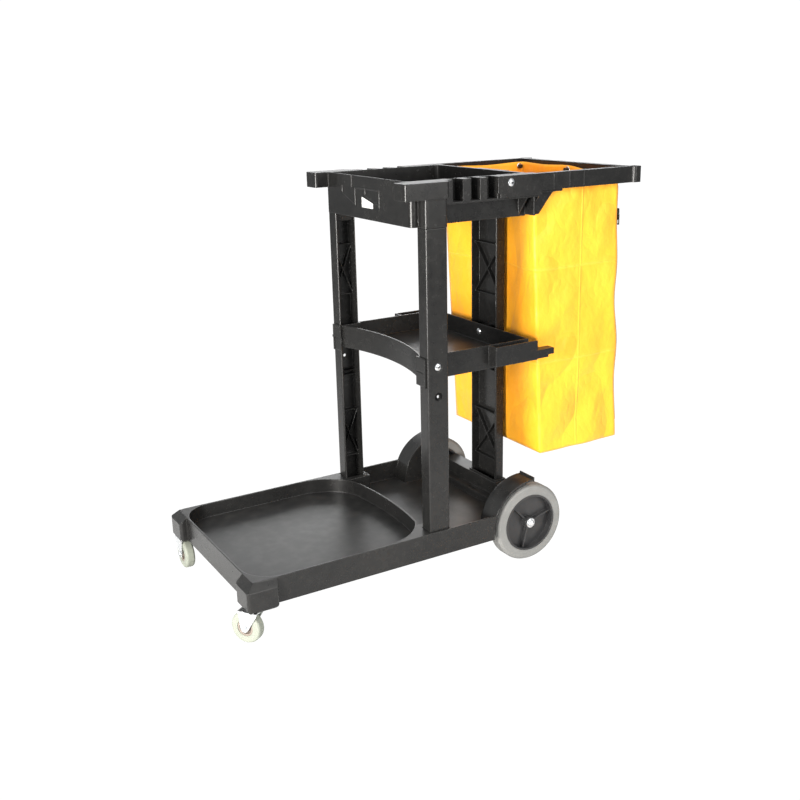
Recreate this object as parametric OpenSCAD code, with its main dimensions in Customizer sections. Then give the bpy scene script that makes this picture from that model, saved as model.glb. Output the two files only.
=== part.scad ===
// Housekeeping cart: a low moulded deck on two fixed rear wheels and two front swivel casters,
// three channel posts, a middle shelf, a top tray and a frame that holds a yellow waste bag.
// X runs from the deck (-) to the bag (+), -Y is the left side, Z is up, and Z = 0 is the floor.
// Lengths along X are measured from the rear axle, which stands axle_x behind the cart's middle.

/* [Overall] */
// Height of the top edge of the tray
tray_top = 979; // [940:1:1000]
// Distance from the middle of the cart back to the rear axle
axle_x = 235.5; // [225:0.5:245]
// Half of the deck's width
deck_half = 243; // [238:1:248]
// Thickness of the moulded walls
wall = 4.5; // [3.5:0.5:5]

/* [Deck] */
// Front wall of the deck, from the axle
deck_front = -768; // [-780:1:-750]
// Height of the deck's lower edge
deck_low = 85; // [84:1:87]
// Height of the deck's rim
rim_z = 149; // [146:1:152]
// Height of the front floor
front_floor = 111.5; // [108:0.5:114]
// Height of the rear floor
rear_floor = 97; // [95:0.5:99]
// Rear end of the front recess, from the axle
recess_end = -285; // [-290:1:-280]

/* [Posts] */
// Front face of the front posts, from the axle
post_front = -302.5; // [-304:1:-300]
// Width of the front posts along X
post_w = 57; // [55:1:58]
// Depth of the front posts along Y
post_d = 39; // [36:1:40]
// Outer face of the front posts
post_out = 237; // [236:0.5:238]
// Width of the rear post along Y
rear_post_w = 113; // [110:1:116]

/* [Shelf and tray] */
// Top edge of the middle shelf
shelf_top = 581; // [570:1:590]
// Depth of the middle shelf
shelf_h = 58; // [54:1:62]
// Depth of the top tray
tray_h = 100; // [96:1:101]
// Height of the bag frame's arms
arm_h = 39; // [36:1:42]

/* [Bag] */
// Half of the bag's width
bag_half = 195; // [190:1:198]
// Height of the bag's bottom
bag_low = 265; // [255:1:290]

/* [Wheels] */
// Radius of the rear wheels
wheel_r = 101.5; // [100:0.5:103]
// Width of the rear wheels
wheel_w = 44; // [40:1:44]
// Radius of the caster wheels
caster_r = 37.5; // [36:0.5:38]
// How far each caster wheel trails its stem
caster_trail = 18; // [17:0.5:19]
// Turn of the left caster about its stem
left_turn = -55.5; // [-180:1:180]
// Turn of the right caster about its stem
right_turn = 90; // [-180:1:180]

/* [Hidden] */
$fn = 96;

eps = 0.5;
big = 1200;

// Deck
rear_face = 58;
rear_inner = 12;
front_corner_r = 75;
pod_corner_r = 8;
recess_corner_r = 140;
recess_bow_r = 900;
socket_x0 = -325;
socket_x1 = -238;
socket_in = 180;
foot_z = 112;
rear_hollow_top = rim_z - 44;
well_in = 190;
arch_r = 120;
arch_wall = 4;
arch_end = 7;
tunnel_x = -14;
tunnel_top = 114;
pod_x0 = -786;
pod_x1 = -710;
pod_y0 = 185;
pod_y1 = 257;
pod_low = 80;
pod_shoulder = 131;
stem_x = -766;
stem_y = 235;
stem_r = 5;
cavity_r = 13.5;
cavity_top = 96;

// Posts
post_wall = 4;
post_mid = post_front + post_w / 2;
post_top = tray_top - tray_h - 1;
rear_post_x0 = 19.5;
rear_post_x1 = 47.5;
bolt_z = shelf_top - 22;
spare_hole_z = shelf_top - 93;
bolt_r = 4;
upper_brace_z = 724;
lower_brace_z = 270;

// Shelf
shelf_low = shelf_top - shelf_h;
shelf_floor = shelf_low + 12;
shelf_half = 208;
shelf_front = -304;
shelf_rear = 9;
shelf_bow = 40;
collar_x = -307;
panel_x0 = -111;
panel_x1 = 14;
panel_y = 238;
panel_low = shelf_low + 10;

// Tray
tray_low = tray_top - tray_h;
tray_front = -321.5;
tray_half = 206;
bin_half = 187;
tray_rear = 12;
band_low = tray_top - 49;
band_out = 222;
band_end = 25.5;
rail_t = 5;
rail_end = 93;
fin_y = 205;
ear_x = -358.5;
ear_in = 192;
ear_out = 245.5;
ear_rear = -243;
ear_h = 37;
label_points = [[-35, 907], [17, 907], [17, 931], [-35, 919]];

// Bag frame
arm_out = 227;
arm_t = 20;
arm_low = tray_top - arm_h;
plate_x0 = -99;
plate_x1 = 29;
plate_low = band_low;
frame_rear = 316;
ear_end = 334;
ear_len = 25;
ear_step = 8;
frame_bolt_x = -62.5;
frame_bolt_z = tray_top - 15;
peg_r = 4.5;
peg_z = tray_top - 20;
peg_xs = [70, 280];

// Bag
bag_top = tray_top - 8;
bag_wall = 2.5;
bag_front_top = 26;
bag_front_mid = 55;
bag_front_low = 62;
bag_rear_top = 292;
bag_rear_low = 318;
grommet_in = 5.8;
grommet_out = 9.5;
grommet_bore = 7.5;

// Zipper, in a frame whose Z follows the bag's rear face down from its top corner
zip_lean = atan((bag_rear_low - bag_rear_top) / (bag_top - bag_low));
zip_y = -188.8;
zip_len = 620;
zip_start = 40;
zip_w = 11;
teeth_w = 5;
slider_at = 97;

// Rear wheels
axle_z = wheel_r;
axle_r = 6;
running = 0.05;
wheel_y0 = 194;
wheel_y1 = wheel_y0 + wheel_w;
hub_r = 75;
axle_end = 245;

// Casters
fork_low = 76.5;
crown_top = 79.3;
crown_front = 15.8;
crown_rear = -33;
race_top = 84;
race_r = 12.3;
ball_r = 1.8;
upper_race = 88;
caster_w = 24;
core_r = 20;
leg_t = 2.5;
leg_gap = caster_w / 2 + 1.3;
caster_bolt_r = 4;

black = [0.09, 0.09, 0.09];
grey_tyre = [0.62, 0.62, 0.60];
zinc = [0.82, 0.84, 0.86];
yellow = [1.0, 0.72, 0.12];

// ---------------------------------------------------------------- helpers
module from_axle() {
    translate([axle_x, 0, 0]) children();
}

module both_sides() {
    children();
    mirror([0, 1, 0]) children();
}

// Extrudes an outline drawn in X and Z from y0 to y1.
module across(y0, y1) {
    translate([0, y1, 0]) rotate([90, 0, 0]) linear_extrude(height = y1 - y0) children();
}

// Extrudes an outline drawn in Y and Z from x0 to x1.
module along(x0, x1) {
    translate([x0, 0, 0]) rotate([90, 0, 90]) linear_extrude(height = x1 - x0) children();
}

// Extrudes an outline drawn in X and Y from z0 to z1.
module upright(z0, z1) {
    translate([0, 0, z0]) linear_extrude(height = z1 - z0) children();
}

module block(low, high) {
    translate(low) cube(high - low);
}

module rounded_rect(low, high, r) {
    translate([low[0] + r, low[1]]) square([high[0] - low[0] - 2 * r, high[1] - low[1]]);
    translate([low[0], low[1] + r]) square([high[0] - low[0], high[1] - low[1] - 2 * r]);
    for (x = [low[0] + r, high[0] - r])
        for (y = [low[1] + r, high[1] - r])
            translate([x, y]) circle(r);
}

// A rod along Y.
module rod_y(y0, y1, r) {
    translate([0, y0, 0]) rotate([-90, 0, 0]) cylinder(h = y1 - y0, r = r);
}

module hex_y(y0, y1, r) {
    translate([0, y0, 0]) rotate([-90, 0, 0]) cylinder(h = y1 - y0, r = r, $fn = 6);
}

// A flat diagonal cross between two corners in a plane, as an outline.
module cross_outline(w, h, t) {
    a = atan(h / w);
    for (s = [-1, 1])
        intersection() {
            rotate(s * a) square([2 * (w + h), t], center = true);
            square([w, h], center = true);
        }
}

// ---------------------------------------------------------------- deck
module recess_outline(grow) {
    intersection() {
        union() {
            rounded_rect([deck_front + wall - grow, -deck_half + wall - grow],
                [recess_end + grow, deck_half - wall + grow], recess_corner_r + grow);
            rounded_rect([deck_front + wall - grow, -deck_half + wall - grow],
                [recess_end - recess_corner_r, deck_half - wall + grow], front_corner_r + grow);
        }
        translate([recess_end + grow - recess_bow_r - grow, 0]) circle(recess_bow_r + grow, $fn = 240);
    }
}

module pod() {
    intersection() {
        upright(pod_low, rim_z) rounded_rect([pod_x0, pod_y0], [pod_x1, pod_y1], pod_corner_r);
        across(pod_y0 - 1, pod_y1 + 1)
            polygon([[pod_x0, pod_low + 7], [pod_x0 + 7, pod_low], [pod_x1 - 9, pod_low],
                [pod_x1, pod_low + 9], [pod_x1, rim_z], [deck_front + 1, rim_z], [pod_x0, pod_shoulder]]);
        along(pod_x0 - 1, pod_x1 + 1)
            polygon([[pod_y0, pod_low + 7], [pod_y0 + 7, pod_low], [pod_y1 - 5, pod_low],
                [pod_y1, pod_low + 5], [pod_y1, pod_shoulder], [deck_half - 1, rim_z], [pod_y0, rim_z]]);
    }
}

// Profile of the wheel well: an arc over the axle with a straight front edge below it.
module arch_disc(r) {
    intersection() {
        union() {
            translate([0, axle_z]) circle(r);
            translate([-r, 0]) square([r + arch_end, axle_z]);
        }
        translate([-big, deck_low]) square([big + arch_end, big]);
    }
}

module wheel_arch() {
    across(well_in, deck_half) difference() {
        arch_disc(arch_r);
        arch_disc(arch_r - arch_wall);
    }
    across(well_in - wall, well_in) arch_disc(arch_r);
    block([arch_end - 3, well_in - wall, axle_z + arch_r - 6], [arch_end, deck_half, axle_z + arch_r + 5]);
}

module base_solids() {
    difference() {
        union() {
            upright(deck_low, rim_z) rounded_rect([deck_front, -deck_half], [rear_face, deck_half], 14);
            both_sides() pod();
        }
        // front recess
        upright(front_floor, rim_z + 1) recess_outline(0);
        // rear compartment, clear of the sockets and of the recess's own wall
        difference() {
            upright(rear_floor, rim_z + 1)
                translate([recess_end - 80, -deck_half + wall])
                    square([rear_inner - recess_end + 80, 2 * (deck_half - wall)]);
            upright(deck_low, rim_z + 2) recess_outline(wall);
            both_sides() {
                block([socket_x0 - 90, socket_in, deck_low], [socket_x1, deck_half, rim_z + 2]);
                across(well_in - wall, deck_half) arch_disc(arch_r);
                block([0, well_in - wall, deck_low], [rear_face, deck_half, rim_z + 2]);
            }
            block([tunnel_x, -well_in, deck_low], [rear_inner, well_in, tunnel_top]);
        }
        // underside: front, rear, axle tunnel and rear wall are hollow from below
        difference() {
            upright(deck_low - 1, front_floor - wall) recess_outline(0);
            both_sides() {
                block([pod_x0, pod_y0 - wall, 0], [pod_x1 + wall, deck_half, rim_z]);
            }
            for (x = [-690, -600, -510, -420])
                block([x, -deck_half, deck_low + 3], [x + 3, deck_half, rim_z]);
            for (y = [-120, 0, 120])
                block([deck_front, y, deck_low + 3], [recess_end + 20, y + 3, rim_z]);
        }
        block([recess_end + 8, -socket_in + wall, deck_low - 1],
            [tunnel_x - wall, socket_in - wall, rear_floor - wall]);
        block([tunnel_x + wall, -well_in + wall, deck_low - 1],
            [rear_inner - wall, well_in - wall, tunnel_top - wall]);
        block([rear_inner, -well_in + wall, deck_low - 1],
            [rear_face - wall, well_in - wall, rear_hollow_top]);
        both_sides() {
            // wheel well, open to the side, the rear and below
            across(well_in, deck_half + 20) {
                translate([-arch_r + arch_wall, 0]) square([arch_r, axle_z]);
                translate([0, axle_z]) circle(arch_r - arch_wall);
                square([rear_face + 1, rim_z + 1]);
            }
            // close socket for the front post
            block([post_front - 0.4, post_out - post_d - 0.4, foot_z],
                [post_front + post_w + 0.4, post_out + 0.4, rim_z]);
            block([socket_x0 + wall, socket_in + wall, deck_low - 1],
                [socket_x1 - wall, deck_half - wall, foot_z - 5]);
            translate([post_mid, post_out - post_d / 2, 0]) cylinder(h = rim_z, r = bolt_r + 0.2);
            // caster cavity and stem hole
            translate([stem_x, stem_y, 0]) cylinder(h = cavity_top, r = cavity_r);
            translate([stem_x, stem_y, 0]) cylinder(h = 128, r = stem_r);
        }
        // socket for the rear post
        block([rear_post_x0 - 0.4, -rear_post_w / 2 - 0.4, foot_z + 5],
            [rear_post_x1 + 0.4, rear_post_w / 2 + 0.4, rim_z + 1]);
        translate([(rear_post_x0 + rear_post_x1) / 2, 0, 0]) cylinder(h = rim_z, r = bolt_r + 0.2);
        // moulded slot beside the rear post
        block([tunnel_x + 8, 4, tunnel_top - 3], [rear_inner - 5, 36, tunnel_top + 1]);
    }
}

module base_platform() {
    color(black) from_axle() difference() {
        union() {
            base_solids();
            both_sides() {
                wheel_arch();
                // small ring beside the socket
                translate([socket_x1 - 9, socket_in + 9, rim_z - 1]) difference() {
                    cylinder(h = 4, r = 6.5);
                    translate([0, 0, -1]) cylinder(h = 6, r = 4);
                }
            }
            // collar round the rear post's foot
            difference() {
                block([rear_post_x0 - 4, -rear_post_w / 2 - 4, rim_z - 1],
                    [rear_post_x1 + 4, rear_post_w / 2 + 4, rim_z + 6]);
                block([rear_post_x0 - 0.4, -rear_post_w / 2 - 0.4, rim_z - 2],
                    [rear_post_x1 + 0.4, rear_post_w / 2 + 0.4, rim_z + 7]);
            }
        }
        // hole for the rear axle through both wheel wells
        translate([0, 0, axle_z]) rod_y(-well_in - 1, well_in + 1, axle_r + 0.02);
    }
}

// ---------------------------------------------------------------- posts
// The left post: a channel whose mouth faces the middle of the cart.
module front_post() {
    difference() {
        union() {
            upright(foot_z + 0.3, post_top) difference() {
                rounded_rect([post_front, -post_out], [post_front + post_w, -post_out + post_d], 5);
                translate([post_front + post_wall, -post_out + post_wall])
                    square([post_w - 2 * post_wall, post_d]);
            }
            // closed foot and the crossed ribs that stiffen the web
            block([post_front + 2, -post_out + 2, foot_z + 0.3],
                [post_front + post_w - 2, -post_out + post_d - 5, foot_z + 5]);
            for (z = [upper_brace_z, lower_brace_z])
                translate([post_mid, 0, z])
                    across(-post_out + post_wall - eps, -post_out + post_wall + 12)
                        cross_outline(post_w - post_wall, 130, 2.5);
            for (z = [upper_brace_z - 66, upper_brace_z + 66, lower_brace_z - 66, lower_brace_z + 66,
                spare_hole_z - 40, spare_hole_z - 52])
                block([post_front + 2, -post_out + 2, z - 1.2],
                    [post_front + post_w - 2, -post_out + post_wall + 14, z + 1.2]);
        }
        translate([post_mid, 0, foot_z]) translate([0, -post_out + post_d / 2, -1])
            cylinder(h = 20, r = bolt_r);
        translate([post_mid, 0, bolt_z]) rod_y(-post_out - 1, -post_out + post_d, bolt_r);
        translate([post_mid, 0, spare_hole_z]) rod_y(-post_out - 1, -post_out + post_d, bolt_r);
        // counterbores in the outer face
        for (z = [bolt_z, spare_hole_z])
            translate([post_mid, 0, z]) rod_y(-post_out - 1, -post_out + 1.8, 10.5);
    }
}

module front_post_left() {
    color(black) from_axle() front_post();
}

module front_post_right() {
    color(black) from_axle() mirror([0, 1, 0]) front_post();
}

module rear_post() {
    half = rear_post_w / 2;
    mid_x = (rear_post_x0 + rear_post_x1) / 2;
    color(black) from_axle() difference() {
        union() {
            upright(foot_z + 5.3, post_top + 22) difference() {
                rounded_rect([rear_post_x0, -half], [rear_post_x1, half], 4);
                translate([rear_post_x0 - 1, -half + post_wall])
                    square([rear_post_x1 - rear_post_x0 + 1 - post_wall, rear_post_w - 2 * post_wall]);
            }
            block([rear_post_x0 + 2, -half + 2, foot_z + 5.3], [rear_post_x1 - 2, half - 2, foot_z + 10]);
            for (z = [upper_brace_z, lower_brace_z])
                translate([0, 0, z]) along(rear_post_x1 - post_wall - 12, rear_post_x1 - post_wall + eps)
                    cross_outline(rear_post_w - post_wall, 130, 2.5);
            for (z = [upper_brace_z - 66, upper_brace_z + 66, lower_brace_z - 66, lower_brace_z + 66, 455])
                block([rear_post_x1 - post_wall - 14, -half + 2, z - 1.2],
                    [rear_post_x1 - 2, half - 2, z + 1.2]);
            // pad that the shelf is bolted to
            block([rear_post_x0 + 0.5, -16, bolt_z - 16], [rear_post_x1 - 2, 16, bolt_z + 16]);
        }
        translate([mid_x, 0, foot_z]) cylinder(h = 20, r = bolt_r);
        translate([0, 0, bolt_z]) rotate([0, 90, 0]) cylinder(h = 60, r = bolt_r);
        translate([rear_post_x1 - 7, 0, bolt_z]) rotate([0, 90, 0]) cylinder(h = 20, r = 8);
    }
}

// ---------------------------------------------------------------- middle shelf
// Outline of the shelf: straight sides and rear, and a front that bows back between the posts.
module shelf_outline(inset) {
    bow_r = (shelf_half * shelf_half + shelf_bow * shelf_bow) / (2 * shelf_bow);
    difference() {
        translate([shelf_front, -shelf_half + inset])
            square([shelf_rear - inset - shelf_front, 2 * (shelf_half - inset)]);
        translate([shelf_front + shelf_bow - bow_r + inset, 0]) circle(bow_r, $fn = 240);
    }
}

// What the shelf leaves clear for the left post.
module post_clearance(gap) {
    block([post_front - gap, -post_out - gap, 0],
        [post_front + post_w + gap, -post_out + post_d + gap, big]);
}

// The left clip in front of a post, with a groove across it and a thin outer rib.
module shelf_clip() {
    block([collar_x, -227, shelf_top - 33], [post_front - 0.4, -190, shelf_top]);
    block([collar_x + 1, -226, shelf_low - 10], [post_front - 0.4, -190, shelf_top - 36]);
    block([collar_x + 2.5, -226, shelf_top - 38], [post_front - 0.4, -190, shelf_top - 31]);
    block([collar_x - 1, -230, shelf_low - 12], [post_front - 0.4, -227 + eps, shelf_top - 1]);
}

module middle_shelf() {
    color(black) from_axle() difference() {
        union() {
            difference() {
                upright(shelf_low, shelf_top) shelf_outline(0);
                upright(shelf_floor, shelf_top + 1) shelf_outline(wall - 0.5);
                upright(shelf_low - 1, shelf_floor - 3.5) shelf_outline(wall - 0.5);
                both_sides() post_clearance(0.4);
            }
            both_sides() {
                // wall behind each post and the tongue inside its channel
                block([shelf_front, -post_out + post_d + 0.4, shelf_low],
                    [post_front + post_w + 4, -post_out + post_d + 4.4, shelf_top]);
                block([post_front + post_w + 0.4, -shelf_half, shelf_low],
                    [post_front + post_w + 4.4, -post_out + post_d + 4.4, shelf_top]);
                block([post_mid - 16, -post_out + post_wall + 12, bolt_z - 16],
                    [post_mid + 16, -post_out + post_d + 1, bolt_z + 16]);
                shelf_clip();
                // tool pocket along each side
                block([panel_x0, -panel_y, panel_low], [panel_x1, -panel_y + 4, shelf_top]);
                block([panel_x0, -panel_y + 1, panel_low], [panel_x0 + 3.5, -shelf_half + 1, shelf_top]);
                block([shelf_rear - 3.5, -panel_y + 1, panel_low], [panel_x1, -shelf_half + 1, panel_low + 22]);
                // arm that runs back from the pocket
                block([panel_x1 - 1, -panel_y, panel_low + 8], [65, -panel_y + 25, panel_low + 23]);
                block([panel_x1 - 1, -panel_y, panel_low + 2], [48, -panel_y + 4, panel_low + 9]);
            }
            // catch that points out from the right clip
            upright(shelf_top - 38, shelf_top - 32)
                polygon([[collar_x, 226], [post_front - 0.5, 226], [collar_x + 2, 240]]);
            // boss that meets the rear post
            block([shelf_rear - 1, -14, bolt_z - 14], [rear_post_x0 + 0.2, 14, bolt_z + 14]);
            // stiffening ribs under the floor
            for (x = [-200, -130, -60])
                block([x, -shelf_half + 2, shelf_low + 3], [x + 3, shelf_half - 2, shelf_floor - 2]);
            for (y = [-100, 0, 100])
                block([-262, y - 1.5, shelf_low + 3], [shelf_rear - 2, y + 1.5, shelf_floor - 2]);
        }
        both_sides() translate([post_mid, 0, bolt_z]) rod_y(-post_out, -post_out + post_d + 6, bolt_r);
        translate([0, 0, bolt_z]) rotate([0, 90, 0]) cylinder(h = 60, r = bolt_r);
    }
}

// ---------------------------------------------------------------- top tray
// Notched band: teeth stand out from the wall and hold handles between them.
module tray_side_band() {
    for (x = [[ear_rear - 1, -220], [-193, -171], [-146, -126], [-98, band_end]])
        difference() {
            block([x[0], -band_out, band_low], [x[1], -bin_half + 1, tray_top]);
            block([x[0] + 3.5, -band_out + 4, band_low - 1], [x[1] - 3.5, -bin_half - 1, tray_top - 4]);
        }
    block([ear_rear - 1, -band_out, band_low - rail_t], [band_end, -bin_half + 1, band_low]);
}

// Rail under the bag frame's arm, the flange and fin that stiffen it, and two sloping ribs.
module tray_gusset() {
    block([tray_rear - 4, -band_out, arm_low - 6], [rail_end, -fin_y, arm_low - 0.5]);
    block([tray_rear - 4, -band_out, tray_low + 3], [tray_rear, -bin_half + 1, tray_top - 45]);
    for (x = [-12, 20])
        along(x, x + 3) polygon([[-band_out, band_low - 4], [-bin_half + 1, band_low - 4],
            [-bin_half + 1, tray_low + 3]]);
    across(-fin_y - 0.5, -fin_y + 3.5)
        polygon([[tray_rear - 3, tray_low + 3], [35, tray_low + 3], [75, band_low], [rail_end, arm_low - 0.5],
            [tray_rear - 3, arm_low - 0.5]]);
}

module top_tray() {
    color(black) from_axle() difference() {
        union() {
            difference() {
                union() {
                    // bin, and the wider wall across its front
                    upright(tray_low, tray_top)
                        rounded_rect([tray_front + 10, -bin_half], [tray_rear, bin_half], 6);
                    upright(tray_low, tray_top)
                        rounded_rect([tray_front, -tray_half], [tray_front + 26, tray_half], 12);
                    both_sides() {
                        // column over each front post
                        upright(tray_low, tray_top)
                            rounded_rect([post_front, -post_out], [ear_rear, -bin_half], 7);
                        // square ear that reaches forward
                        upright(tray_top - ear_h, tray_top)
                            rounded_rect([ear_x, -ear_out], [ear_rear, -ear_in], 7);
                    }
                }
                // bin
                upright(tray_low + 4, tray_top + 1)
                    rounded_rect([tray_front + 4, -bin_half + 4], [tray_rear - 12, bin_half - 4], 10);
                // hollow of the thick rear wall
                block([tray_rear - 9, -bin_half + 20, tray_low - 1], [tray_rear - 3, bin_half - 20, tray_top - 4]);
                both_sides() {
                    // hollows of the column and the ear, open below
                    upright(tray_low - 1, tray_top - 4)
                        rounded_rect([post_front + 4, -post_out + 4], [post_front + post_w - 4, -bin_half - 4], 3);
                    upright(tray_top - ear_h - 1, tray_top - 4)
                        rounded_rect([ear_x + 4, -ear_out + 4], [tray_front - 3, -ear_in - 4], 4);
                }
            }
            both_sides() {
                // spigot that drops into the post's channel
                block([post_front + 5.5, -post_out + 5.5, tray_low - 26],
                    [post_front + post_w - 5.5, -post_out + post_d - 6, tray_low + 8]);
                block([post_front + 3, -post_out + 3, tray_low + 3],
                    [post_front + post_w - 3, -bin_half - 3, tray_low + 8]);
                tray_side_band();
                tray_gusset();
            }
            // socket over the rear post
            difference() {
                block([tray_rear - 1, -rear_post_w / 2 - 6, tray_low],
                    [rear_post_x1 + 5, rear_post_w / 2 + 6, tray_top - 4]);
                block([rear_post_x0 - 0.4, -rear_post_w / 2 - 0.4, tray_low - 1],
                    [rear_post_x1 + 0.4, rear_post_w / 2 + 0.4, post_top + 22.5]);
            }
            block([rear_post_x0 + 1, -rear_post_w / 2 + 5, tray_low - 12],
                [rear_post_x1 - 5, rear_post_w / 2 - 5, tray_low + 24]);
            front_panel();
        }
        // bag frame bolts
        both_sides() translate([frame_bolt_x, 0, frame_bolt_z]) rod_y(-band_out - 10, -band_out + 8, bolt_r);
        translate([(rear_post_x0 + rear_post_x1) / 2, 0, tray_low - 20]) cylinder(h = 60, r = 8);
    }
}

// Raised lines of the framed panel on the tray's front wall.
module front_panel() {
    low = tray_front - 1.6;
    high = tray_front + 1;
    block([low, -66, tray_top - 70], [high, -64, tray_top - 29]);
    block([low, 117, tray_top - 45], [high, 119, tray_top - 28]);
    block([low, -65, tray_top - 30], [high, 52, tray_top - 28.5]);
    block([low, 67, tray_top - 28], [high, 68.5, tray_top]);
    block([low, 1, tray_top - 45], [high, 3, tray_top - 27]);
    block([low, 51, tray_top - 71], [high, 53, tray_top - 28]);
    along(low, high) {
        polygon([[119, tray_top - 43], [119, tray_top - 45], [51, tray_top - 71], [51, tray_top - 69]]);
        polygon([[3, tray_top - 45], [3, tray_top - 43], [-65, tray_top - 62], [-65, tray_top - 64]]);
    }
}

module blank_label() {
    color("white") from_axle() along(tray_front - 0.9, tray_front) polygon(label_points);
}

// ---------------------------------------------------------------- bag frame
module frame_arm() {
    // flat plate over the tray's band, then a hollow arm with ribs showing on its outer face
    block([plate_x0 + 7, -arm_out, plate_low], [plate_x1, -band_out - 0.3, tray_top]);
    block([plate_x0, -arm_out, plate_low + 11], [plate_x0 + 8, -band_out - 0.3, tray_top]);
    block([plate_x1 - 3, -arm_out, arm_low], [plate_x1, -arm_out + arm_t, tray_top]);
    difference() {
        block([plate_x1 - 1, -arm_out, arm_low], [ear_end, -arm_out + arm_t, tray_top]);
        block([plate_x1 + 3, -arm_out + 4, arm_low - 1], [frame_rear - 20, -arm_out + arm_t - 4, tray_top - 4]);
    }
    upright(arm_low, tray_top)
        rounded_rect([ear_end - ear_len, -arm_out - ear_step], [ear_end, -arm_out + arm_t], 8);
    for (x = [62, 110, 154])
        block([x, -arm_out - 0.8, arm_low + 2], [x + 2.5, -arm_out + 1, tray_top - 3]);
    for (x = peg_xs)
        translate([x, 0, peg_z]) {
            rod_y(-arm_out + arm_t - 2, -bag_half + 8, peg_r);
            rod_y(-bag_half + 6, -bag_half + 9, peg_r + 1.2);
        }
}

module bag_frame() {
    color(black) from_axle() difference() {
        union() {
            both_sides() frame_arm();
            difference() {
                block([frame_rear - arm_t, -arm_out + 1, arm_low], [frame_rear, arm_out - 1, tray_top]);
                block([frame_rear - arm_t + 4, -arm_out + arm_t, arm_low - 1],
                    [frame_rear - 4, arm_out - arm_t, tray_top - 4]);
            }
            translate([0, 0, peg_z]) rotate([0, -90, 0]) {
                translate([0, 0, -frame_rear + arm_t - 2]) cylinder(h = 16, r = peg_r);
                translate([0, 0, -frame_rear + arm_t + 12]) cylinder(h = 3, r = peg_r + 1.2);
            }
        }
        both_sides() translate([frame_bolt_x, 0, frame_bolt_z]) rod_y(-arm_out - 1, -band_out, bolt_r);
    }
}

// ---------------------------------------------------------------- bag
// Side view of the bag, with t of wall taken off all round but the top.
module bag_profile(t) {
    over = t > 0 ? 1 : 0;
    polygon([[bag_front_top + t, bag_top + over], [bag_front_low + t, bag_low + t],
        [bag_rear_low - t, bag_low + t], [bag_rear_top - t, bag_top + over]]);
}

// Plan of the bag: its front bends back round the rear post.
module bag_plan(t) {
    half = bag_half - t;
    bend = rear_post_w / 2 + 12;
    polygon([[bag_front_top - 1 + t, -half], [bag_front_mid + t, -bend], [bag_front_mid + t, bend],
        [bag_front_top - 1 + t, half], [bag_rear_low + 5, half], [bag_rear_low + 5, -half]]);
}

module bag_solid(t) {
    intersection() {
        across(-bag_half, bag_half) bag_profile(t);
        upright(bag_low - 1, bag_top + 2) bag_plan(t);
    }
}

module at_side_pegs() {
    for (x = peg_xs)
        both_sides() translate([x, -bag_half, peg_z]) rotate([90, 0, 0]) children();
}

module at_rear_peg() {
    translate([bag_rear_top + (bag_rear_low - bag_rear_top) * (bag_top - peg_z) / (bag_top - bag_low),
        0, peg_z]) rotate([0, 90 - zip_lean, 0]) children();
}

module bag() {
    color(yellow) from_axle() difference() {
        bag_solid(0);
        bag_solid(bag_wall);
        at_side_pegs() cylinder(h = 20, r = grommet_bore, center = true);
        at_rear_peg() cylinder(h = 20, r = grommet_bore, center = true);
    }
}

// An eyelet: a short barrel through the cloth with a flange on each face.
module eyelet() {
    gap = 0.03;
    difference() {
        union() {
            translate([0, 0, -bag_wall - 1]) cylinder(h = bag_wall + 2, r = grommet_bore - gap);
            translate([0, 0, gap]) cylinder(h = 1, r = grommet_out);
            translate([0, 0, -bag_wall - gap - 1]) cylinder(h = 1, r = grommet_out);
        }
        translate([0, 0, -20]) cylinder(h = 40, r = grommet_in);
    }
}

module bag_grommets() {
    color("silver") from_axle() {
        at_side_pegs() eyelet();
        at_rear_peg() eyelet();
    }
}

// The zipper's frame: origin at the top of the bag's rear face, -Z down the cloth, +X outwards.
module zipper_frame() {
    translate([bag_rear_top, zip_y, bag_top]) rotate([0, -zip_lean, 0]) children();
}

module bag_zipper() {
    color(black) from_axle() zipper_frame() {
        block([0.1, -zip_w / 2, -zip_start - zip_len], [1, zip_w / 2, -zip_start]);
        block([0.9, -teeth_w / 2, -zip_start - zip_len], [2.6, teeth_w / 2, -zip_start]);
    }
}

module zipper_slider() {
    color("silver") from_axle() zipper_frame() translate([0, 0, -slider_at]) difference() {
        union() {
            block([1.4, -5.5, -16], [5, 5.5, 0]);
            block([4.9, -2, -13], [9, 2, -3]);
        }
        block([0, -teeth_w / 2 - 0.4, -17], [3, teeth_w / 2 + 0.4, 1]);
        translate([6.8, 0, -8]) rod_y(-3, 3, 1.3);
        block([5.5, -3, -9.3], [8.1, 3, -6.7]);
    }
}

module zipper_pull() {
    color("silver") from_axle() zipper_frame() translate([6.8, 0, -slider_at - 8]) rotate([0, zip_lean, 0]) {
        rod_y(-3.5, 3.5, 1);
        for (y = [-3.5, 2.5])
            block([-1, y, -9], [1, y + 1, 0.8]);
        difference() {
            block([-0.9, -4.5, -34], [0.9, 4.5, -8]);
            block([-1.5, -2.2, -31], [1.5, 2.2, -22]);
        }
    }
}

// ---------------------------------------------------------------- fasteners
module hex_bolt_up(head_z, tip_z, r) {
    translate([0, 0, head_z]) cylinder(h = 4, r = r * 1.75, $fn = 6);
    translate([0, 0, head_z + 3]) cylinder(h = tip_z - head_z - 3, r = r);
}

module post_foot_bolts() {
    color(zinc) from_axle() {
        both_sides() translate([post_mid, post_out - post_d / 2, 0])
            hex_bolt_up(foot_z - 9.2, foot_z + 14, bolt_r - 0.1);
        translate([(rear_post_x0 + rear_post_x1) / 2, 0, 0])
            hex_bolt_up(rear_hollow_top - 4.2, foot_z + 20, bolt_r - 0.1);
    }
}

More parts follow.
